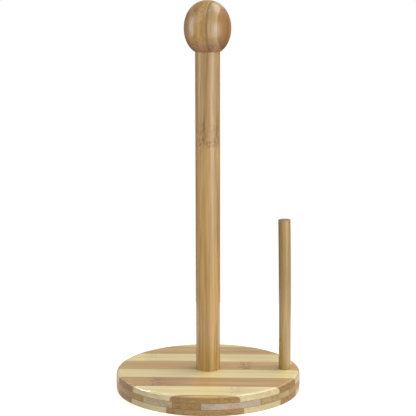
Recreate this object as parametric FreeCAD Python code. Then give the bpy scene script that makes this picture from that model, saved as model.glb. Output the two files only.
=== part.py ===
"""Free-standing roll holder of laminated bamboo, for cling film, foil or kitchen paper.

A round three-ply board carries an upright post with a turned knob, and a thin cane at the rim that
the free end of the roll is torn against. The board's plies are glued up from strips: the outer plies
run along X and the core runs across them. The post is drawn down into a shallow socket by a bolt from
below, and the knob unscrews from the top of the post on a stud.

Frame: +Z up, origin on the post's axis at the plane that the holder stands on, +X towards the cane.
Lengths are in millimetres and angles in degrees.
"""
import FreeCAD
import Part
import math
import os

Vector = FreeCAD.Vector
UP = Vector(0, 0, 1)
ORIGIN = Vector(0, 0, 0)

# Board
base_radius = 76.2
ply_thickness = 5.25
top_edge_round = 3.0
bottom_edge_round = 1.0
strip_turn = -2.0            # the strips lie this far from square to the cane's hole
light_strip_width = 21.9
dark_strip_width = 23.4
core_strip_width = 23.0
outer_ply_anchor = -3.9      # Y of the joint between a dark strip and the light one in front of it
bottom_ply_shift = 1.2       # the bottom ply was glued this much further back than the top ply
core_anchor = -2.8           # X of one joint in the core

# Pads under the board
pad_radius = 6.0
pad_thickness = 1.5
pad_edge_bevel = 0.3
pad_circle_radius = 60.0
pad_count = 4

# Post
post_radius = 10.0
post_height = 262.0          # above the board
post_socket_depth = 3.0
post_end_bevel = 0.4
post_stave_count = 3
wood_gap = 0.05              # radial room round a piece of wood or an insert in its hole
cut_past = 1.0               # how far a cutting tool runs past the face that it cuts

# Tearing cane
cane_radius = 5.0
cane_height = 125.7          # above the board
cane_hole_depth = 9.0
cane_distance = 63.8         # from the post's axis
cane_bend_radius = 6000.0    # the cane has set into a slight bend towards the post
cane_end_round = 0.6

# Knob, a turned egg: a superellipse whose upper and lower halves differ in height
knob_radius = 18.95
knob_belly_height = 18.3     # height of the widest place above the seat
knob_upper_half = 22.3
knob_lower_half = 21.9       # cut off at the seat
knob_fullness = 2.08         # 2 would be an ellipse
knob_outline_steps = 8
knob_lamella_thickness = 7.65
knob_lamella_anchor = 5.4    # distance of one glue joint from the axis
knob_lamella_turn = -20.0    # the slabs' faces lie this far from square to X
knob_bore_depth = 22.0

# Metal parts, M6 throughout; threads are left plain at their outer diameter
thread_radius = 3.0
thread_gap = 0.05
end_bevel = 0.6
insert_radius = 5.0
insert_length = 13.0
insert_slot_width = 1.2
insert_slot_depth = 2.0
insert_hole_depth = 17.0
stud_below_seat = 12.0
stud_above_seat = 18.0
stud_tip_length = 3.0
stud_tip_radius = 0.6
bolt_length = 22.0
bolt_hole_radius = 3.3
bolt_head_radius = 5.25
bolt_head_height = 3.3
bolt_head_flat_radius = 3.0
bolt_crown_share = 0.75      # the head's crown passes this far out, and as far down, between flat and edge
bolt_socket_across_flats = 4.0
bolt_socket_depth = 2.0
washer_radius = 7.0
washer_thickness = 1.2
bolt_recess_radius = 8.0

# Levels that follow from those
base_bottom = pad_thickness
base_top = base_bottom + 3 * ply_thickness
post_bottom = base_top - post_socket_depth
post_top = base_top + post_height
core_bottom = base_bottom + ply_thickness
core_top = base_top - ply_thickness
washer_bottom = core_bottom - washer_thickness
knob_belly = post_top + knob_belly_height
knob_top = knob_belly + knob_upper_half


def cylinder(radius, low, high, x=0.0, y=0.0):
    """Upright cylinder from height low to height high."""
    return Part.makeCylinder(radius, high - low, Vector(x, y, low), UP)


def turned(outline):
    """Solid of revolution about Z from a closed list of edges in the XZ plane."""
    face = Part.Face(Part.Wire(outline))
    return face.revolve(ORIGIN, UP, 360)


def line(start, end):
    """Straight edge between two (radius, height) points."""
    return Part.LineSegment(Vector(start[0], 0, start[1]), Vector(end[0], 0, end[1])).toShape()


def arc(start, middle, end):
    """Circular edge through three (radius, height) points."""
    points = [Vector(r, 0, z) for r, z in (start, middle, end)]
    return Part.Arc(*points).toShape()


def corner(centre, radius, angle_from, angle_to):
    """Circular edge about a (radius, height) centre, between two angles above the horizontal."""
    angles = (angle_from, (angle_from + angle_to) / 2, angle_to)
    on_arc = [(centre[0] + radius * math.cos(math.radians(a)),
               centre[1] + radius * math.sin(math.radians(a))) for a in angles]
    return arc(*on_arc)


def board_blank():
    """The whole round board with its rounded rim, before it is divided and drilled."""
    low_centre = (base_radius - bottom_edge_round, base_bottom + bottom_edge_round)
    high_centre = (base_radius - top_edge_round, base_top - top_edge_round)
    return turned([
        line((0, base_bottom), (low_centre[0], base_bottom)),
        corner(low_centre, bottom_edge_round, -90, 0),
        line((base_radius, low_centre[1]), (base_radius, high_centre[1])),
        corner(high_centre, top_edge_round, 0, 90),
        line((high_centre[0], base_top), (0, base_top)),
        line((0, base_top), (0, base_bottom)),
    ])


def joint_positions(anchor, widths_up, widths_down, reach):
    """Positions of the glue joints either side of anchor, inside +/- reach, in rising order."""
    found = [anchor]
    for step, widths in ((1, widths_up), (-1, widths_down)):
        place, count = anchor, 0
        while True:
            place += step * widths[count % len(widths)]
            count += 1
            if abs(place) >= reach:
                break
            found.append(place)
    return sorted(found)


def slabs(joints, reach, low, high, turn):
    """Flat slabs between neighbouring joints, stacked along X and then turned about Z."""
    edges = [-reach] + joints + [reach]
    made = []
    for start, end in zip(edges, edges[1:]):
        slab = Part.makeBox(end - start, 2 * reach, high - low, Vector(start, -reach, low))
        slab.rotate(ORIGIN, UP, turn)
        made.append(slab)
    return made


def outer_ply_joints(shift):
    """Glue joints of an outer ply along Y: light and dark strips alternate."""
    return joint_positions(outer_ply_anchor + shift, (dark_strip_width, light_strip_width),
                           (light_strip_width, dark_strip_width), base_radius)


def board_holes():
    """Everything that is drilled out of the board."""
    return [
        cylinder(post_radius + wood_gap, post_bottom, base_top + cut_past),
        cylinder(bolt_hole_radius, base_bottom - cut_past, base_top + cut_past),
        cylinder(bolt_recess_radius, base_bottom - cut_past, core_bottom),
        cylinder(cane_radius + wood_gap, base_top - cane_hole_depth, base_top + cut_past, cane_distance),
    ]


def board_strips():
    """The strips of the three plies, numbered from the front, or from the left in the core."""
    reach = base_radius + cut_past
    quarter_turn = 90 + strip_turn
    plies = (
        ("base_top_strip", outer_ply_joints(0), core_top, base_top, quarter_turn),
        ("base_core_strip", joint_positions(core_anchor, (core_strip_width,), (core_strip_width,),
                                            base_radius), core_bottom, core_top, strip_turn),
        ("base_bottom_strip", outer_ply_joints(bottom_ply_shift), base_bottom, core_bottom, quarter_turn),
    )
    blank, holes = board_blank(), board_holes()
    made = {}
    for name, joints, low, high, turn in plies:
        for number, slab in enumerate(slabs(joints, reach, low, high, turn), 1):
            made[f"{name}_{number}"] = slab.common(blank).cut(holes)
    return made


def foot_pads():
    """Thin non-slip discs stuck under the board, off the strips' own direction."""
    made = {}
    for number in range(1, pad_count + 1):
        angle = math.radians(360.0 / pad_count * (number - 0.5))
        x, y = pad_circle_radius * math.cos(angle), pad_circle_radius * math.sin(angle)
        pad = cylinder(pad_radius, 0, pad_thickness, x, y)
        circles = [e for e in pad.Edges if e.Curve.TypeId == "Part::GeomCircle"]
        rim = [e for e in circles if e.CenterOfMass.z < pad_edge_bevel]
        made[f"foot_pad_{number}"] = pad.makeChamfer(pad_edge_bevel, rim)
    return made


def post_staves():
    """The post: a dowel glued up from flat staves, with a hole for an insert in each end."""
    bevel, radius = post_end_bevel, post_radius
    dowel = turned([
        line((0, post_bottom), (radius - bevel, post_bottom)),
        line((radius - bevel, post_bottom), (radius, post_bottom + bevel)),
        line((radius, post_bottom + bevel), (radius, post_top - bevel)),
        line((radius, post_top - bevel), (radius - bevel, post_top)),
        line((radius - bevel, post_top), (0, post_top)),
        line((0, post_top), (0, post_bottom)),
    ])
    hole = insert_radius + wood_gap
    holes = [cylinder(hole, post_bottom - cut_past, post_bottom + insert_hole_depth),
             cylinder(hole, post_top - insert_hole_depth, post_top + cut_past)]
    thickness = 2 * radius / post_stave_count
    joints = [thickness * n - radius for n in range(1, post_stave_count)]
    made = {}
    for number, slab in enumerate(slabs(joints, radius + cut_past, post_bottom - cut_past,
                                        post_top + cut_past, 90), 1):
        made[f"post_stave_{number}"] = slab.common(dowel).cut(holes)
    return made


def threaded_insert(mouth, into):
    """Sleeve nut let into the end grain: mouth is the height of its slotted face, into is +1 or -1."""
    far = mouth + into * insert_length
    sleeve = cylinder(insert_radius, min(mouth, far), max(mouth, far))
    bore = cylinder(thread_radius + thread_gap, min(mouth, far) - cut_past, max(mouth, far) + cut_past)
    slot_low = min(mouth, mouth + into * insert_slot_depth)
    reach = insert_radius + cut_past
    slot = Part.makeBox(2 * reach, insert_slot_width, insert_slot_depth,
                        Vector(-reach, -insert_slot_width / 2, slot_low))
    return sleeve.cut([bore, slot])


def post_bolt():
    """Button-head bolt, head down, with a hexagon socket."""
    head_bottom = washer_bottom - bolt_head_height
    share = bolt_crown_share
    crown = (share * bolt_head_radius + (1 - share) * bolt_head_flat_radius,
             head_bottom + (1 - share) * bolt_head_height)
    body = turned([
        line((0, head_bottom), (bolt_head_flat_radius, head_bottom)),
        arc((bolt_head_flat_radius, head_bottom), crown, (bolt_head_radius, washer_bottom)),
        line((bolt_head_radius, washer_bottom), (thread_radius, washer_bottom)),
        line((thread_radius, washer_bottom), (thread_radius, washer_bottom + bolt_length - end_bevel)),
        line((thread_radius, washer_bottom + bolt_length - end_bevel),
             (thread_radius - end_bevel, washer_bottom + bolt_length)),
        line((thread_radius - end_bevel, washer_bottom + bolt_length), (0, washer_bottom + bolt_length)),
        line((0, washer_bottom + bolt_length), (0, head_bottom)),
    ])
    corner_radius = bolt_socket_across_flats / math.sqrt(3)
    corners = [math.radians(60 * n) for n in range(7)]
    points = [Vector(corner_radius * math.cos(a), corner_radius * math.sin(a), head_bottom - cut_past)
              for a in corners]
    socket = Part.Face(Part.makePolygon(points)).extrude(UP * (bolt_socket_depth + cut_past))
    return body.cut(socket)


def post_washer():
    """Flat washer between the bolt's head and the core ply."""
    return cylinder(washer_radius, washer_bottom, core_bottom).cut(
        cylinder(bolt_hole_radius, washer_bottom - cut_past, core_bottom + cut_past))


def tearing_cane():
    """The thin cane: straight in its hole, then bent very slightly towards the post."""
    buried = cylinder(cane_radius, base_top - cane_hole_depth, base_top, cane_distance)
    section = Part.Face(Part.Wire(Part.makeCircle(cane_radius, Vector(cane_distance, 0, base_top), UP)))
    bend_centre = Vector(cane_distance - cane_bend_radius, 0, base_top)
    bent = section.revolve(bend_centre, Vector(0, -1, 0), math.degrees(cane_height / cane_bend_radius))
    top = max(bent.Faces, key=lambda f: f.CenterOfMass.z)
    rim = [e for e in top.Edges if e.Curve.TypeId == "Part::GeomCircle"]
    return bent.makeFillet(cane_end_round, rim).fuse(buried).removeSplitter()


def knob_point(angle, half):
    """Point on the knob's outline, at an angle above the belly, or below it if negative."""
    power = 2.0 / knob_fullness
    rise = half * abs(math.sin(angle)) ** power
    return Vector(knob_radius * math.cos(angle) ** power, 0, knob_belly + math.copysign(rise, angle))


def knob_curve(points, start_direction, end_direction):
    """Smooth edge through the points, with given directions at its ends."""
    curve = Part.BSplineCurve()
    curve.interpolate(Points=points, InitialTangent=start_direction, FinalTangent=end_direction)
    return curve.toShape()


def knob_blank():
    """The turned knob, before it is bored."""
    fullness, steps = knob_fullness, knob_outline_steps
    seat_share = (knob_belly_height / knob_lower_half) ** fullness
    seat_radius = knob_radius * (1 - seat_share) ** (1 / fullness)
    seat_angle = math.asin(seat_share ** 0.5)
    seat_direction = Vector((knob_belly_height / knob_lower_half) ** (fullness - 1) / knob_lower_half, 0,
                            (seat_radius / knob_radius) ** (fullness - 1) / knob_radius)
    across = Vector(-1, 0, 0)
    lower = [knob_point(-seat_angle * (1 - n / steps), knob_lower_half) for n in range(steps)]
    upper = [knob_point(math.pi / 2 * n / steps, knob_upper_half) for n in range(1, steps)]
    belly, top = Vector(knob_radius, 0, knob_belly), Vector(0, 0, knob_top)
    return turned([
        line((0, post_top), (lower[0].x, post_top)),
        knob_curve(lower + [belly], seat_direction, UP),
        knob_curve([belly] + upper + [top], UP, across),
        line((0, knob_top), (0, post_top)),
    ])


def knob_lamellae():
    """The knob's block was glued up from slabs before it was turned and bored."""
    width = (knob_lamella_thickness,)
    joints = joint_positions(knob_lamella_anchor, width, width, knob_radius)
    blank = knob_blank()
    bore = cylinder(thread_radius + thread_gap, post_top - cut_past, post_top + knob_bore_depth)
    made = {}
    for number, slab in enumerate(slabs(joints, knob_radius + cut_past, post_top - cut_past,
                                        knob_top + cut_past, knob_lamella_turn), 1):
        made[f"knob_lamella_{number}"] = slab.common(blank).cut(bore)
    return made


def knob_stud():
    """Stud that holds the knob: machine thread below, pointed wood thread above."""
    low, high = post_top - stud_below_seat, post_top + stud_above_seat
    return turned([
        line((0, low), (thread_radius - end_bevel, low)),
        line((thread_radius - end_bevel, low), (thread_radius, low + end_bevel)),
        line((thread_radius, low + end_bevel), (thread_radius, high)),
        line((thread_radius, high), (stud_tip_radius, high + stud_tip_length)),
        line((stud_tip_radius, high + stud_tip_length), (0, high + stud_tip_length)),
        line((0, high + stud_tip_length), (0, low)),
    ])


def main():
    parts = {}
    parts.update(board_strips())
    parts.update(foot_pads())
    parts.update(post_staves())
    parts["post_insert"] = threaded_insert(post_bottom, 1)
    parts["post_bolt"] = post_bolt()
    parts["post_washer"] = post_washer()
    parts["tearing_cane"] = tearing_cane()
    parts["knob_insert"] = threaded_insert(post_top, -1)
    parts["knob_stud"] = knob_stud()
    parts.update(knob_lamellae())
    os.makedirs("parts", exist_ok=True)
    for name, shape in parts.items():
        if len(shape.Solids) != 1 or not shape.isValid():
            raise RuntimeError(f"{name}: {len(shape.Solids)} solids, valid {shape.isValid()}")
        shape.Solids[0].exportStep(f"parts/{name}.step")
    print(len(parts), "parts")


main()
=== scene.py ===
import math
import random

import bmesh
import bpy
from mathutils import Matrix, Vector


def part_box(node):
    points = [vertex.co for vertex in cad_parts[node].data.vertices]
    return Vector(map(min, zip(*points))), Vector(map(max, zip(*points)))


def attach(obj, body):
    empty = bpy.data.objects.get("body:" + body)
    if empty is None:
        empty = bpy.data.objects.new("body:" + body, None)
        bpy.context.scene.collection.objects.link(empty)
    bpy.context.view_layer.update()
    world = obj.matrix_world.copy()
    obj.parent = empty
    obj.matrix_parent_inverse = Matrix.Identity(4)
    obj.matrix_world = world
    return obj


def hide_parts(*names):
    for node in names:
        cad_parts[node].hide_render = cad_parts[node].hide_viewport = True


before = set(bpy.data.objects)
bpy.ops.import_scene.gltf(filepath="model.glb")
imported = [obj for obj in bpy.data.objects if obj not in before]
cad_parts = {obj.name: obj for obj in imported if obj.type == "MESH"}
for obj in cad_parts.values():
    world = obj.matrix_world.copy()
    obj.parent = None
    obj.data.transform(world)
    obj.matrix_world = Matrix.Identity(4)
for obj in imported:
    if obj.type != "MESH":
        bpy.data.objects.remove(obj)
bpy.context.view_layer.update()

MM = 0.001  # one millimetre, in metres
TO_MM = 1000.0

# Levels and radii of the CAD pieces, in metres
BOARD_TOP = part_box("base_top_strip_4")[1].z
BOARD_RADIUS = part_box("base_core_strip_5")[1].x
CORE_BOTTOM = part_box("base_core_strip_5")[0].z
CORE_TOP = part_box("base_core_strip_5")[1].z
POST_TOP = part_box("post_stave_2")[1].z
KNOB_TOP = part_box("knob_lamella_4")[1].z
KNOB_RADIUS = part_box("knob_lamella_6")[1].x
# How the strips of the board and the slabs of the knob are turned about Z
STRIP_TURN = math.radians(-2.0)
LAMELLA_TURN = math.radians(-20.0)


# ---------------------------------------------------------------- node graphs

def srgb(text):
    """Linear colour from a hexadecimal screen colour."""
    channels = [int(text[i:i + 2], 16) / 255 for i in (0, 2, 4)]
    return [c / 12.92 if c <= 0.04045 else ((c + 0.055) / 1.055) ** 2.4 for c in channels] + [1.0]


class Graph:
    """A material's nodes, built by short calls. Arguments are numbers or other nodes' sockets."""

    def __init__(self, name):
        self.material = bpy.data.materials.new(name)
        self.material.use_nodes = True
        self.nodes = self.material.node_tree.nodes
        self.links = self.material.node_tree.links
        self.nodes.clear()
        self.shader = self.nodes.new("ShaderNodeBsdfPrincipled")
        output = self.nodes.new("ShaderNodeOutputMaterial")
        self.links.new(self.shader.outputs[0], output.inputs[0])
        self.coordinates = self.nodes.new("ShaderNodeTexCoord")

    def put(self, socket, value):
        if isinstance(value, bpy.types.NodeSocket):
            self.links.new(value, socket)
        else:
            socket.default_value = value

    def math(self, operation, *values):
        node = self.nodes.new("ShaderNodeMath")
        node.operation = operation
        for socket, value in zip(node.inputs, values):
            self.put(socket, value)
        return node.outputs[0]

    def add(self, a, b):
        return self.math("ADD", a, b)

    def sub(self, a, b):
        return self.math("SUBTRACT", a, b)

    def mul(self, a, b):
        return self.math("MULTIPLY", a, b)

    def step(self, value, start, end):
        """0 before start, 1 after end, smooth between; start may be the larger of the two."""
        node = self.nodes.new("ShaderNodeMapRange")
        node.interpolation_type = "SMOOTHSTEP"
        flip = start > end
        low, high = (end, start) if flip else (start, end)
        for socket, number in zip(node.inputs[1:5], (low, high, float(flip), 1.0 - float(flip))):
            socket.default_value = number
        self.put(node.inputs[0], value)
        return node.outputs[0]

    def stretch(self, value, start, full, still_full, end):
        """0 outside start and end, 1 between full and still_full, smooth in the gaps."""
        return self.mul(self.step(value, start, full), self.step(value, end, still_full))

    def split(self, vector):
        node = self.nodes.new("ShaderNodeSeparateXYZ")
        self.put(node.inputs[0], vector)
        return node.outputs[0], node.outputs[1], node.outputs[2]

    def join(self, x, y, z):
        node = self.nodes.new("ShaderNodeCombineXYZ")
        for socket, value in zip(node.inputs, (x, y, z)):
            self.put(socket, value)
        return node.outputs[0]

    def place(self, vector, scale=(1, 1, 1), turn=(0, 0, 0)):
        node = self.nodes.new("ShaderNodeMapping")
        self.put(node.inputs[0], vector)
        node.inputs["Rotation"].default_value = turn
        node.inputs["Scale"].default_value = scale
        return node.outputs[0]

    def noise(self, vector, scale=1.0, detail=2.0, roughness=0.5, distortion=0.0):
        node = self.nodes.new("ShaderNodeTexNoise")
        self.put(node.inputs["Vector"], vector)
        node.inputs["Scale"].default_value = scale
        node.inputs["Detail"].default_value = detail
        node.inputs["Roughness"].default_value = roughness
        node.inputs["Distortion"].default_value = distortion
        return node.outputs["Fac"]

    def cells(self, vector):
        """Distance to the nearest of a cloud of points, about one to each unit of volume."""
        node = self.nodes.new("ShaderNodeTexVoronoi")
        self.put(node.inputs["Vector"], vector)
        node.inputs["Scale"].default_value = 1.0
        return node.outputs["Distance"]

    def mix(self, share, a, b, blend="MIX"):
        node = self.nodes.new("ShaderNodeMix")
        node.data_type = "RGBA"
        node.blend_type = blend
        self.put(node.inputs["Factor"], share)
        self.put(node.inputs[6], a)
        self.put(node.inputs[7], b)
        return node.outputs[2]

    def tint(self, share, colour, factor):
        """The colour, and by its share the colour times the factor."""
        return self.mix(share, colour, self.mix(1.0, colour, [*factor[:3], 1.0], "MULTIPLY"))

    def ramp(self, value, stops):
        node = self.nodes.new("ShaderNodeValToRGB")
        self.put(node.inputs[0], value)
        elements = node.color_ramp.elements
        while len(elements) < len(stops):
            elements.new(0.5)
        for element, (position, colour) in zip(elements, stops):
            element.position = position
            element.color = colour
        return node.outputs[0]

    def bump(self, height, distance):
        node = self.nodes.new("ShaderNodeBump")
        node.inputs["Strength"].default_value = 1.0
        node.inputs["Distance"].default_value = distance
        self.put(node.inputs["Height"], height)
        return node.outputs[0]

    def surface(self, **values):
        """Sets the shader's own sockets: roughness=0.4, coat_weight=0.5, and so on."""
        for name, value in values.items():
            label = name.replace("_", " ").title().replace("Ior", "IOR")
            self.put(self.shader.inputs[label], value)


# ---------------------------------------------------------------- bamboo

# Screen colour of each kind of bamboo, at its middle tone
TONES = {
    "light": "E6D39B",
    "dark": "C39F69",
    "core": "C1AE9D",
    "brown_core": "AE8E5B",
    "olive_core": "C2B28E",
    "tan_core": "BCA578",
    "post": "B8935F",
    "cane": "A3854F",
    "knob_brown": "A67F58",
    "knob_tan": "C2985F",
    "knob_gold": "C59C60",
    "knob_pale": "BA9A68",
    "knob_red": "9E7140",
}
# What the board's upright rim keeps of each colour of its faces: partly the sanded rim's deeper colour,
# partly painted shade on the upright faces
RIM_TINT_AND_SHADE = {
    "light": (0.68, 0.70, 0.79),
    "dark": (0.54, 0.51, 0.41),
    "core": (0.85, 0.83, 0.80),
    "brown_core": (0.76, 0.72, 0.62),
    "olive_core": (0.85, 0.83, 0.80),
    "tan_core": (0.76, 0.72, 0.62),
}
# How far the tones of a strip of the board spread, where 1 is the whole of SPREAD
CONTRAST = {"light": 0.75, "dark": 1.3, "core": 1.0, "brown_core": 1.2, "olive_core": 1.0,
            "tan_core": 1.2}
# How strong the mottling of a cut across the fibres is
SPECKLE = {"light": 0.5, "dark": 0.9, "core": 0.5, "brown_core": 0.9, "olive_core": 0.6,
           "tan_core": 0.9}
# How far the fibres' tones spread about the middle one, and where on the scale of tones each stands
SPREAD = (0.62, 0.90, 1.07, 1.22)
SPREAD_STOPS = (0.22, 0.42, 0.58, 0.80)
# What vessels, glue lines and the culm's nodes keep of the middle tone, and the tint of cut ends
DEEP = (0.36, 0.30, 0.24, 1.0)
END_TINT = srgb("C6B292")

GRAINS = {
    # order in which x, y and z become: across the strip, through its thickness, along its fibres
    "x": (1, 2, 0),
    "y": (0, 2, 1),
    "z": (0, 1, 2),
}

# Noise patterns, by how fine they are to a millimetre across the fibres and along them
PATTERNS = {
    "sway": {"across": 0.02, "along": 0.012, "detail": 1.0},
    "wave": {"across": 0.30, "along": 0.03, "detail": 3.0, "roughness": 0.6},
    "curl": {"across": 0.30, "along": 0.16},
    "broad": {"across": 0.16, "along": 0.006},
    "streak": {"across": 0.9, "along": 0.014, "detail": 3.0, "roughness": 0.6},
    "fine": {"across": 3.6, "along": 0.05, "roughness": 0.6},
    "mottle": {"across": 0.85, "along": 0.42, "detail": 3.0, "distortion": 0.8},
    "torn": {"across": 0.55, "along": 0.2},
    "threads": {"across": 0.8, "along": 0.02},
    "peel": {"across": 0.35, "along": 0.25},
}
SWAY_WIDTH = 6.0  # how far the fibres wander, in millimetres
VESSEL_ALONG = 0.02  # how fine the vessels are along the fibres
VESSEL_EDGE = (0.36, 0.12)  # from a vessel's outside to where it is darkest
VESSEL_SHARE = {"side": 0.15, "end": 0.40}  # how dark it is there, along the fibres and on a cut end
TONE_SHARES = {"broad": 0.55, "streak": 0.55, "fine": 0.25}
TONE_EXCESS = 0.175  # taken off the sum of those, which brings its middle back to a half
ROUGHNESS = {"least": 0.36, "streak": 0.16, "cut": 0.26}
RELIEF = 0.04 * MM  # depth of the fibres and the vessels
PEEL = 0.02 * MM  # depth of the waves in the lacquer

# From where a face doesn't count to where it counts fully, by how far its normal lies along the fibres
# for a cut end, and by how far it points up or down for an upright face and for a sheer one
END_FACING = (0.15, 0.80)
UPRIGHT_FACING = (0.96, 0.60)
SHEER_FACING = (0.45, 0.15)

# A node of the culm, along the fibres and in millimetres from its line: where each of its parts starts,
# is full, is still full and ends
NODE_PARTS = {
    "swirl": (-7.0, 0.0, 0.0, 9.0),
    "band": (-6.0, -1.5, 2.0, 10.0),
    "line": (-0.9, -0.1, 0.2, 1.6),
    "halo": (-5.5, -2.5, -1.8, -0.4),
    "trail": (0.0, 3.0, 6.0, 36.0),
}
NODE_SHARES = {"band": 0.85, "line": 0.25, "halo": 0.30, "trail": 0.60}
# Where on each pattern's scale its patches start, and where they are full
NODE_EDGES = {"mottle": (0.47, 0.60), "torn": (0.44, 0.58), "threads": (0.48, 0.64)}
NODE_WAVE = 18.0  # how far a node's line wanders, in millimetres
NODE_SWIRL = 5.0  # how far the fibres swirl there

GLUE_LINE = 0.27  # half its width, in millimetres


class Bamboo(Graph):
    """Bamboo as a solid, measured in millimetres across the strip, through its thickness and along it."""

    def __init__(self, name, kind, grain, turn):
        super().__init__(name)
        chance = random.Random(name)
        self.seed = [chance.uniform(-400, 400) for _ in range(3)]
        self.middle = srgb(TONES[kind])
        self.deep = [c * d for c, d in zip(self.middle, DEEP)]
        axes = self.split(self.place(self.coordinates.outputs["Object"], turn=(0, 0, -turn)))
        self.across, self.through, self.along = (self.mul(axes[i], TO_MM) for i in GRAINS[grain])
        normals = self.split(self.place(self.coordinates.outputs["Normal"], turn=(0, 0, -turn)))
        self.facing_along = self.math("ABSOLUTE", normals[GRAINS[grain][2]])
        self.facing_up = self.math("ABSOLUTE", normals[2])
        self.here = self.point(self.add(self.across, self.seed[0]))

    def point(self, across):
        """Where patterns are looked up: the place in the strip, moved off by the seed."""
        return self.join(across, self.add(self.through, self.seed[1]), self.add(self.along, self.seed[2]))

    def pattern(self, point, name, fineness=1.0):
        """One of PATTERNS. Its fineness counts only across the fibres."""
        look = dict(PATTERNS[name])
        across = look.pop("across") * fineness
        along = look.pop("along")
        return self.noise(self.place(point, scale=(across, across, along)), **look)

    def bend_fibres(self, marks):
        """Lets the fibres sway along their length, and swirl where they cross a node of the culm.

        It returns each node as the distance from its wavy line, and its strength.
        """
        shift = self.mul(self.sub(self.pattern(self.here, "sway"), 0.5), SWAY_WIDTH)
        culm_nodes = []
        for place, strength in marks:
            wave = self.mul(self.sub(self.pattern(self.here, "wave"), 0.5), NODE_WAVE)
            offset = self.sub(self.sub(self.along, place * TO_MM), wave)
            near = self.stretch(offset, *NODE_PARTS["swirl"])
            curl = self.mul(self.sub(self.pattern(self.here, "curl"), 0.5), near)
            shift = self.add(shift, self.mul(curl, NODE_SWIRL * strength))
            culm_nodes.append((offset, strength))
        self.bent = self.point(self.add(self.add(self.across, self.seed[0]), shift))
        return culm_nodes

    def add_culm_node(self, colour, offset, strength, pale):
        """A mottled band with a torn line in it, pale before the line, and threads that run off it."""
        part = {name: self.stretch(offset, *NODE_PARTS[name]) for name in NODE_SHARES}
        share = {name: value * strength for name, value in NODE_SHARES.items()}
        mottle = self.step(self.pattern(self.here, "mottle"), *NODE_EDGES["mottle"])
        torn = self.step(self.pattern(self.here, "torn"), *NODE_EDGES["torn"])
        threads = self.step(self.pattern(self.bent, "threads"), *NODE_EDGES["threads"])
        band = self.mul(part["band"], mottle)
        line = self.mul(part["line"], torn)
        trail = self.mul(part["trail"], threads)
        colour = self.mix(self.mul(band, share["band"]), colour, self.deep)
        colour = self.mix(self.mul(line, share["line"]), colour, self.deep)
        colour = self.mix(self.mul(part["halo"], share["halo"]), colour, pale)
        return self.mix(self.mul(trail, share["trail"]), colour, self.deep)

    def add_glue_line(self, colour, gap, strength, half_width, broad, streak):
        """A dark line whose width follows the streaks beside it, and its strength the broad tones."""
        # The streaks average a half, so the width averages the given one
        width = self.add(half_width * 0.44, self.mul(streak, half_width * 1.1))
        line = self.step(self.math("DIVIDE", gap, width), 1.0, 0.4)
        return self.mix(self.mul(line, self.mul(self.add(broad, 0.1), strength)), colour, self.deep)


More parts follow.
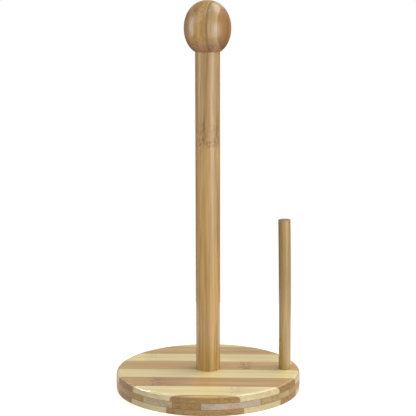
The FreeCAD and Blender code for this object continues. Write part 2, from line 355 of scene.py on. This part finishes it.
def bamboo(name, kind, grain, turn=0.0, shade=1.0, joints=(), levels=(), marks=(), contrast=1.0,
           rim=None, tints_and_shade=(), coat=0.45, coat_rough=0.19, fineness=1.0, dots=(1.15, 1.0),
           speckle=(0.55, 0.9)):
    """Lacquered bamboo: long fibres, and bundles of vessels that a cut across them shows as dots.

    kind is one of TONES and grain one of GRAINS, in a frame that is turned about Z. shade multiplies the
    whole colour. joints are glue lines across the strip, and levels are glue lines through its thickness:
    each is a place in metres, a strength, and half a width in millimetres. marks are the culm's nodes
    along the fibres: each is a place in metres and a strength. rim is the tint of the board's upright
    faces. Each of tints is two places along the fibres, in metres, and the colour that has come in fully
    at the second of them. dots are how many vessels there are to a millimetre, and how dark their cut ends
    are. speckle is how fine and how strong the mottling of a cut across the fibres is. fineness is that of
    the streaks.
    """
    g = Bamboo(name, kind, grain, turn)
    culm_nodes = g.bend_fibres(marks)
    broad = g.pattern(g.bent, "broad")
    streak = g.pattern(g.bent, "streak", fineness)
    fine = g.pattern(g.bent, "fine")
    dot_count, dot_strength = dots
    vessel = g.step(g.cells(g.place(g.bent, scale=(dot_count, dot_count, VESSEL_ALONG))), *VESSEL_EDGE)

    # Where a cut crosses the fibres it is mottled, darker, and its dots are sharper
    end = g.step(g.facing_along, *END_FACING)
    upright = g.step(g.facing_up, *UPRIGHT_FACING)
    rough_cut = g.math("MAXIMUM", end, g.mul(upright, 0.75)) if rim else end
    fleck_fineness, fleck_strength = speckle
    fleck_scale = (fleck_fineness, fleck_fineness, 0.7 * fleck_fineness)
    flecks = g.noise(g.place(g.here, scale=fleck_scale), detail=4.0, roughness=0.7)

    streaks = g.add(g.mul(streak, TONE_SHARES["streak"]), g.mul(fine, TONE_SHARES["fine"]))
    tone = g.add(g.mul(broad, TONE_SHARES["broad"]), streaks)
    tone = g.add(tone, g.mul(g.mul(rough_cut, g.sub(flecks, 0.5)), fleck_strength))
    tone = g.sub(tone, TONE_EXCESS)
    colours = [[min(1.0, c * (1 + (factor - 1) * contrast)) for c in g.middle[:3]] + [1.0]
               for factor in SPREAD]
    colour = g.ramp(tone, list(zip(SPREAD_STOPS, colours)))
    vessel_share = g.add(VESSEL_SHARE["side"] * contrast, g.mul(end, VESSEL_SHARE["end"] * dot_strength))
    colour = g.mix(g.mul(vessel, vessel_share), colour, g.deep)
    colour = g.tint(g.mul(end, 0.3), colour, END_TINT)

    for offset, strength in culm_nodes:
        colour = g.add_culm_node(colour, offset, strength, pale=colours[3])
    for value, places in ((g.across, joints), (g.through, levels)):
        for place, strength, half_width in places:
            gap = g.math("ABSOLUTE", g.sub(value, place * TO_MM))
            colour = g.add_glue_line(colour, gap, strength, half_width, broad, streak)

    if rim:
        # The upright rim is deeper in colour than the faces, partly as the sanded rim drinks in the
        # lacquer and partly by painted shade, and the sheer rim is less glossy
        colour = g.tint(upright, colour, rim)
        sheer = g.step(g.facing_up, *SHEER_FACING)
        coat = g.mul(g.sub(1.0, g.mul(sheer, 0.8)), coat)
    # Darker towards the lower end: partly a tint of the bamboo, partly painted shade
    for start, stop, tint in tints_and_shade:
        colour = g.tint(g.step(g.along, start * TO_MM, stop * TO_MM), colour, tint)
    if shade != 1.0:
        colour = g.mix(1.0, colour, [shade, shade, shade, 1.0], "MULTIPLY")

    roughness = g.add(ROUGHNESS["least"], g.mul(streak, ROUGHNESS["streak"]))
    roughness = g.add(roughness, g.mul(rough_cut, ROUGHNESS["cut"]))
    relief = g.sub(g.mul(fine, 0.6), g.mul(vessel, 0.6))
    g.surface(base_color=colour, roughness=roughness, normal=g.bump(relief, RELIEF), ior=1.5)
    g.surface(coat_weight=coat, coat_roughness=coat_rough, coat_ior=1.5,
              coat_normal=g.bump(g.pattern(g.here, "peel"), PEEL))
    return g.material


def edges_across(node, grain, turn, limit):
    """The edges of a strip where it meets another strip, across its fibres and in its turned frame."""
    index = GRAINS[grain][0]
    c, s = math.cos(-turn), math.sin(-turn)
    values = []
    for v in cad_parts[node].data.vertices:
        x, y = v.co.x * c - v.co.y * s, v.co.x * s + v.co.y * c
        values.append((x, y, v.co.z)[index])
    return [v for v in (min(values), max(values)) if abs(v) < limit - 1.0 * MM]


def paint(node, material):
    """Gives a CAD node one material in all its slots."""
    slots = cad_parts[node].data.materials
    if len(slots) == 0:
        slots.append(material)
    for i in range(len(slots)):
        slots[i] = material


def paint_board():
    """Outer plies: strips along X, odd ones dark. Core: strips along Y."""
    cores = ("brown_core", "brown_core", "olive_core", "brown_core",
             "core", "core", "tan_core", "brown_core")
    marks = {
        # Node of the culm in a strip: its place along X in metres, and how strong it is
        "base_top_strip_2": ((0.0215, 0.45),),
        "base_top_strip_3": ((-0.043, 0.9),),
        "base_top_strip_5": ((0.029, 0.9),),
        "base_top_strip_6": ((-0.052, 0.4),),
        "base_bottom_strip_4": ((0.018, 0.8),),
        "base_bottom_strip_7": ((-0.031, 0.9),),
    }
    shades = {"base_top_strip_3": 0.95, "base_top_strip_5": 1.12}
    levels = ((CORE_BOTTOM, 1.2, GLUE_LINE), (CORE_TOP, 1.2, GLUE_LINE))
    for ply in ("top", "core", "bottom"):
        for number in range(1, 9):
            node = f"base_{ply}_strip_{number}"
            grain = "y" if ply == "core" else "x"
            if ply == "core":
                kind = cores[number - 1]
            else:
                kind = "dark" if number % 2 else "light"
            edges = edges_across(node, grain, STRIP_TURN, BOARD_RADIUS)
            joints = [(place, 0.8, GLUE_LINE) for place in edges]
            shade = shades.get(node, random.Random(node + " shade").uniform(0.96, 1.04))
            paint(node, bamboo(node, kind, grain, STRIP_TURN, shade=shade, joints=joints, levels=levels,
                               marks=marks.get(node, ()), contrast=CONTRAST[kind], rim=RIM_TINT_AND_SHADE[kind],
                               coat=0.4, speckle=(0.55, SPECKLE[kind])))


def paint_post():
    """The post, darker towards its foot by a tint and painted shade, and glued along the middle stave's
    faces, and the cane.
    """
    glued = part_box("post_stave_2")
    levels = [(corner.y, 0.9, 2 * GLUE_LINE) for corner in glued]
    marks = ((0.205, 0.75), (0.214, 0.5))
    # Darker and more golden towards the foot: partly the bamboo's own tint, partly painted shade
    low_tint_and_shade = (0.230, 0.060, (0.93, 0.91, 0.66))
    for number in range(1, 4):
        # The material's name seeds the grain: of 24 sets that were tried, this one came closest
        stave = bamboo(f"r_stave_{number}", "post", "z", levels=levels, marks=marks, contrast=2.0,
                       fineness=0.62, tints_and_shade=(low_tint_and_shade,), coat=0.5, coat_rough=0.12)
        paint(f"post_stave_{number}", stave)
    cane = bamboo("tearing_cane", "cane", "z", contrast=1.6, fineness=0.7, coat=0.65, coat_rough=0.12)
    paint("tearing_cane", cane)


def paint_knob():
    """The knob's slabs: one joint is wide and dark, the pale slab's pores hardly show, and painted shade
    darkens the lower part.
    """
    kinds = ("knob_brown", "knob_brown", "knob_tan", "knob_gold", "knob_pale", "knob_red")
    dark_joint = min(edges_across("knob_lamella_5", "z", LAMELLA_TURN, KNOB_RADIUS))
    # Painted shade under the knob: its lower part is darker and redder
    low_tint_and_shade = (KNOB_TOP - 27 * MM, KNOB_TOP - 38 * MM, (0.66, 0.52, 0.36))
    for number, kind in enumerate(kinds, start=1):
        node = f"knob_lamella_{number}"
        joints = []
        for place in edges_across(node, "z", LAMELLA_TURN, KNOB_RADIUS):
            is_dark = abs(place - dark_joint) < 1.0 * MM
            joints.append((place, 1.0, 4.5 * GLUE_LINE) if is_dark else (place, 0.5, GLUE_LINE))
        pores = 0.35 if kind == "knob_pale" else 1.0
        paint(node, bamboo(node, kind, "z", LAMELLA_TURN, joints=joints, contrast=1.3, tints_and_shade=(low_tint_and_shade,),
                           dots=(0.80, 2.2 * pores), speckle=(1.2, 2.6 * pores)))


# ---------------------------------------------------------------- metal and rubber

def grained(name, waves, detail, colours):
    """A graph whose base colour is noise between two colours, and the noise. waves is to a millimetre."""
    g = Graph(name)
    here = g.place(g.coordinates.outputs["Object"], scale=(TO_MM, TO_MM, TO_MM))
    grain = g.noise(here, scale=waves, detail=detail)
    g.surface(base_color=g.ramp(grain, [(0.3, srgb(colours[0])), (0.7, srgb(colours[1]))]))
    return g, grain


def metal(name, colours, rough):
    g, grime = grained(name, 0.6, 4.0, colours)
    g.surface(roughness=g.add(rough - 0.08, g.mul(grime, 0.16)), metallic=1.0)
    return g.material


def rubber(name):
    g, grain = grained(name, 3.0, 3.0, ("C9C8C2", "D8D7D2"))
    g.surface(roughness=0.7, normal=g.bump(grain, 0.05 * MM))
    return g.material


def groove(height, angle, pitch, flat):
    """Depth of a right-hand thread's groove at a place on the rod, from 0 at the crest to 1 at the root.

    flat is the share of the pitch that is flat at the crest, and again at the root.
    """
    turn = (height / pitch - angle / (2 * math.pi)) % 1.0
    from_crest = 2 * min(turn, 1 - turn)
    return min(1.0, max(0.0, (from_crest - flat) / (1 - 2 * flat)))


def threaded_rod(name, levels, radius_at, sides=48):
    """Closed rod about Z whose radius is a function of height and angle."""
    mesh = bmesh.new()
    rings = []
    for height in levels:
        ring = []
        for i in range(sides):
            angle = 2 * math.pi * i / sides
            r = radius_at(height, angle)
            ring.append(mesh.verts.new((r * math.cos(angle), r * math.sin(angle), height)))
        rings.append(ring)
    for below, above in zip(rings, rings[1:]):
        for i in range(sides):
            j = (i + 1) % sides
            mesh.faces.new((below[i], below[j], above[j], above[i])).smooth = True
    mesh.faces.new(reversed(rings[0]))
    mesh.faces.new(rings[-1])
    data = bpy.data.meshes.new(name)
    mesh.to_mesh(data)
    mesh.free()
    rod = bpy.data.objects.new(name, data)
    bpy.context.scene.collection.objects.link(rod)
    return rod


def add_threaded_stud(material):
    """The knob's stud: a machine thread below the seat, and above it a coarse wood thread to a point."""
    low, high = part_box("knob_stud")[0].z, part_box("knob_stud")[1].z
    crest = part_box("knob_stud")[1].x
    machine = {"pitch": 1.0 * MM, "depth": 0.55 * MM, "flat": 0.10}
    wood = {"pitch": 2.4 * MM, "depth": 0.95 * MM, "flat": 0.04}
    chamfer, taper, tip = 0.6 * MM, 4.5 * MM, 0.6 * MM
    collar_low, collar_high = POST_TOP + 0.8 * MM, POST_TOP + 2.2 * MM
    step = machine["pitch"] / 12  # between the mesh's rings

    def radius_at(height, angle):
        thread = machine if height < collar_high else wood
        depth = thread["depth"] * groove(height, angle, thread["pitch"], thread["flat"])
        if collar_low < height < collar_high:
            depth = 0.0
        radius = crest - depth
        radius = min(radius, crest - chamfer + (height - low))
        return min(radius, tip + (crest - tip) * (high - height) / taper)

    count = round((high - low) / step)
    levels = [low + (high - low) * n / count for n in range(count + 1)]
    stud = threaded_rod("threaded_stud", levels, radius_at)
    stud.data.materials.append(material)
    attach(stud, "knob_screw")
    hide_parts("knob_stud")


def paint_hardware():
    zinc = metal("bright_zinc", ("9FA3A6", "C9CCCE"), 0.30)
    brass = metal("turned_brass", ("A8843F", "C9A65A"), 0.28)
    for node in ("post_bolt", "post_washer"):
        paint(node, zinc)
    add_threaded_stud(zinc)
    for node in ("post_insert", "knob_insert"):
        paint(node, brass)
    pad = rubber("pad_rubber")
    for number in range(1, 5):
        paint(f"foot_pad_{number}", pad)


# ---------------------------------------------------------------- studio

# The photograph's camera: metres, degrees turned to radians, and the lens in millimetres
CAMERA_BACK = 0.9653
CAMERA_SIDE = 0.00015
CAMERA_ABOVE_BOARD = 0.2949
CAMERA_PITCH = math.radians(9.385)
CAMERA_ROLL = math.radians(-0.1)
CAMERA_LENS = 103.85

STAND_MIDDLE = (0, 0, 0.16)
KNOB_MIDDLE = (0, 0, KNOB_TOP - 20 * MM)
RIM_LEFT = (-0.60 * BOARD_RADIUS, -0.78 * BOARD_RADIUS, BOARD_TOP)
SKY = 0.20  # light from all round
BACKDROP = 1.0  # what the camera sees behind the object


def add_camera():
    data = bpy.data.cameras.new("camera")
    data.lens = CAMERA_LENS
    data.sensor_width = 36.0
    data.clip_end = 20
    camera = bpy.data.objects.new("camera", data)
    camera.location = (CAMERA_SIDE, -CAMERA_BACK, BOARD_TOP + CAMERA_ABOVE_BOARD)
    tilt = Matrix.Rotation(math.pi / 2 - CAMERA_PITCH, 4, "X") @ Matrix.Rotation(CAMERA_ROLL, 4, "Z")
    camera.rotation_euler = tilt.to_euler()
    bpy.context.scene.collection.objects.link(camera)
    bpy.context.scene.camera = camera


def add_softbox(name, azimuth, elevation, distance, size, power, target=STAND_MIDDLE, spread=180,
                diffuse=True, gloss=True, only_on=()):
    """Rectangular light that faces its target, in degrees, metres and watts.

    Azimuth 0 is the camera's side, and 90 is +X. Where only_on names CAD nodes, light linking keeps the
    light off everything else.
    """
    data = bpy.data.lights.new(name, "AREA")
    data.shape = "RECTANGLE"
    data.size, data.size_y = size
    data.energy = power
    data.spread = math.radians(spread)
    light = bpy.data.objects.new(name, data)
    light.visible_camera = False
    light.visible_diffuse = diffuse
    light.visible_glossy = gloss
    a, e = math.radians(azimuth), math.radians(elevation)
    target = Vector(target)
    light.location = target + distance * Vector((math.sin(a) * math.cos(e), -math.cos(a) * math.cos(e),
                                                 math.sin(e)))
    light.rotation_euler = (target - light.location).to_track_quat("-Z", "Y").to_euler()
    bpy.context.scene.collection.objects.link(light)
    if only_on:
        receivers = bpy.data.collections.new(name + "_receivers")
        for node in only_on:
            receivers.objects.link(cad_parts[node])
        light.light_linking.receiver_collection = receivers


def add_world():
    """Even light from all round, with a white backdrop that only the camera sees."""
    world = bpy.data.worlds.new("studio")
    world.use_nodes = True
    nodes, links = world.node_tree.nodes, world.node_tree.links
    nodes.clear()
    path = nodes.new("ShaderNodeLightPath")
    lit = nodes.new("ShaderNodeBackground")
    seen = nodes.new("ShaderNodeBackground")
    mix = nodes.new("ShaderNodeMixShader")
    output = nodes.new("ShaderNodeOutputWorld")
    for background, strength in ((lit, SKY), (seen, BACKDROP)):
        background.inputs["Color"].default_value = (1, 1, 1, 1)
        background.inputs["Strength"].default_value = strength
    links.new(path.outputs["Is Camera Ray"], mix.inputs[0])
    links.new(lit.outputs[0], mix.inputs[1])
    links.new(seen.outputs[0], mix.inputs[2])
    links.new(mix.outputs[0], output.inputs[0])
    bpy.context.scene.world = world


def add_floor():
    """Round white table, a little lit from inside, and just clear of the pads' faces."""
    radius, sides, level = 0.30, 128, -0.05 * MM
    mesh = bpy.data.meshes.new("floor")
    angles = [2 * math.pi * i / sides for i in range(sides)]
    ring = [(radius * math.cos(angle), radius * math.sin(angle), level) for angle in angles]
    mesh.from_pydata(ring, [], [tuple(range(sides))])
    floor = bpy.data.objects.new("floor", mesh)
    bpy.context.scene.collection.objects.link(floor)
    g = Graph("floor_paper")
    g.surface(base_color=(0.55, 0.55, 0.55, 1), roughness=1.0, specular_ior_level=0.0,
              emission_color=(1, 1, 1, 1), emission_strength=0.72)
    mesh.materials.append(g.material)


def add_studio():
    add_camera()
    add_floor()
    add_world()
    uprights = [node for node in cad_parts
                if node.startswith(("post_stave", "tearing", "knob_lamella"))]
    knobs = [node for node in uprights if node.startswith("knob")]
    add_softbox("key", 112, 60, 1.2, (0.9, 0.55), 9.3)
    add_softbox("front_right", 44, 3, 0.75, (0.42, 0.48), 3.8, gloss=False)
    add_softbox("front_right_gloss", 44, 3, 0.75, (0.42, 0.48), 5.0, diffuse=False, only_on=uprights)
    add_softbox("knob_right", 44, 3, 0.75, (0.24, 0.34), 0.45, KNOB_MIDDLE, diffuse=False, only_on=knobs)
    add_softbox("overhead", 20, 72, 1.2, (0.8, 0.4), 1.4)
    add_softbox("left_strip", -80, 22, 0.42, (0.16, 0.34), 0.48)
    add_softbox("left_front", -50, 38, 1.2, (0.6, 0.6), 1.9)
    add_softbox("backdrop", 180, 30, 1.5, (1.6, 0.6), 2.3)
    add_softbox("knob_strip", -86, 8, 0.5, (0.17, 0.44), 0.5, KNOB_MIDDLE, diffuse=False, only_on=knobs)
    add_softbox("rim_glint", -103, 40, 0.6, (0.36, 0.22), 0.26, RIM_LEFT, spread=26, diffuse=False)
    bpy.context.scene.view_settings.view_transform = "Standard"


paint_board()
paint_post()
paint_knob()
paint_hardware()
add_studio()
